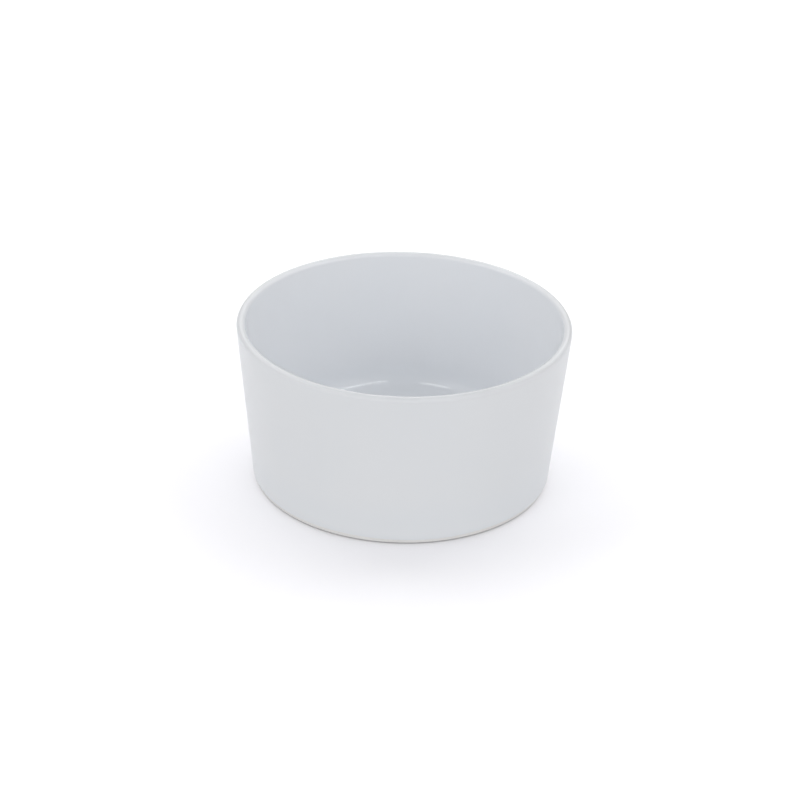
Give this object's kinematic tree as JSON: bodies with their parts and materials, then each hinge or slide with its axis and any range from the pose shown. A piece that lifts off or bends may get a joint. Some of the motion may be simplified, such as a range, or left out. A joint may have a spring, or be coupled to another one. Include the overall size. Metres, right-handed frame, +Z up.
{
  "type": "porcelain crucible",
  "caption": "Low, wide porcelain crucible with a straight flared wall, round lip, curved inside corner and bare standing ring, for heating samples.",
  "frame": {"origin": "middle of the foot, on the standing plane", "axes": "+Z up along the axis that the crucible is round about; +X and +Y lie in the standing plane and have no marked direction"},
  "size_m": [0.08, 0.08, 0.0406],
  "materials": {
    "bare_porcelain": "matte",
    "white_glaze": "satin gloss"
  },
  "bodies": {
    "root": {"porcelain_body": "bare_porcelain", "glaze": "white_glaze"}
  },
  "joints": []
}
